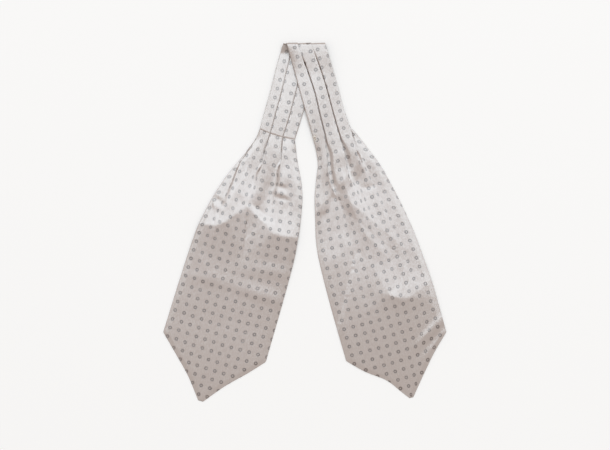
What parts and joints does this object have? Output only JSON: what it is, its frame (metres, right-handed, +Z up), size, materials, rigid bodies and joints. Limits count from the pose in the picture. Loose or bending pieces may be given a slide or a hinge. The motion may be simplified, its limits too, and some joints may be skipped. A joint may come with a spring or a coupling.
{
  "type": "day cravat",
  "caption": "Silk day cravat with a pleated neckband and two broad pointed blades, folded in half at the neck and laid flat.",
  "frame": {"origin": "middle of the outline, on the surface that the cravat lies on", "axes": "+Z up out of the cloth's face, +Y from the blades' points towards the fold at the neck, +X to the right seen from above"},
  "size_m": [0.4422, 0.5572, 0.0092],
  "materials": {
    "printed_silk": "satin silk, silver grey to taupe, with a small ring pattern"
  },
  "bodies": {
    "root": {"neckband_left": "printed_silk", "neckband_right": "printed_silk", "blade_left_front": "printed_silk", "blade_left_back": "printed_silk", "blade_right_front": "printed_silk", "blade_right_back": "printed_silk"}
  },
  "joints": []
}
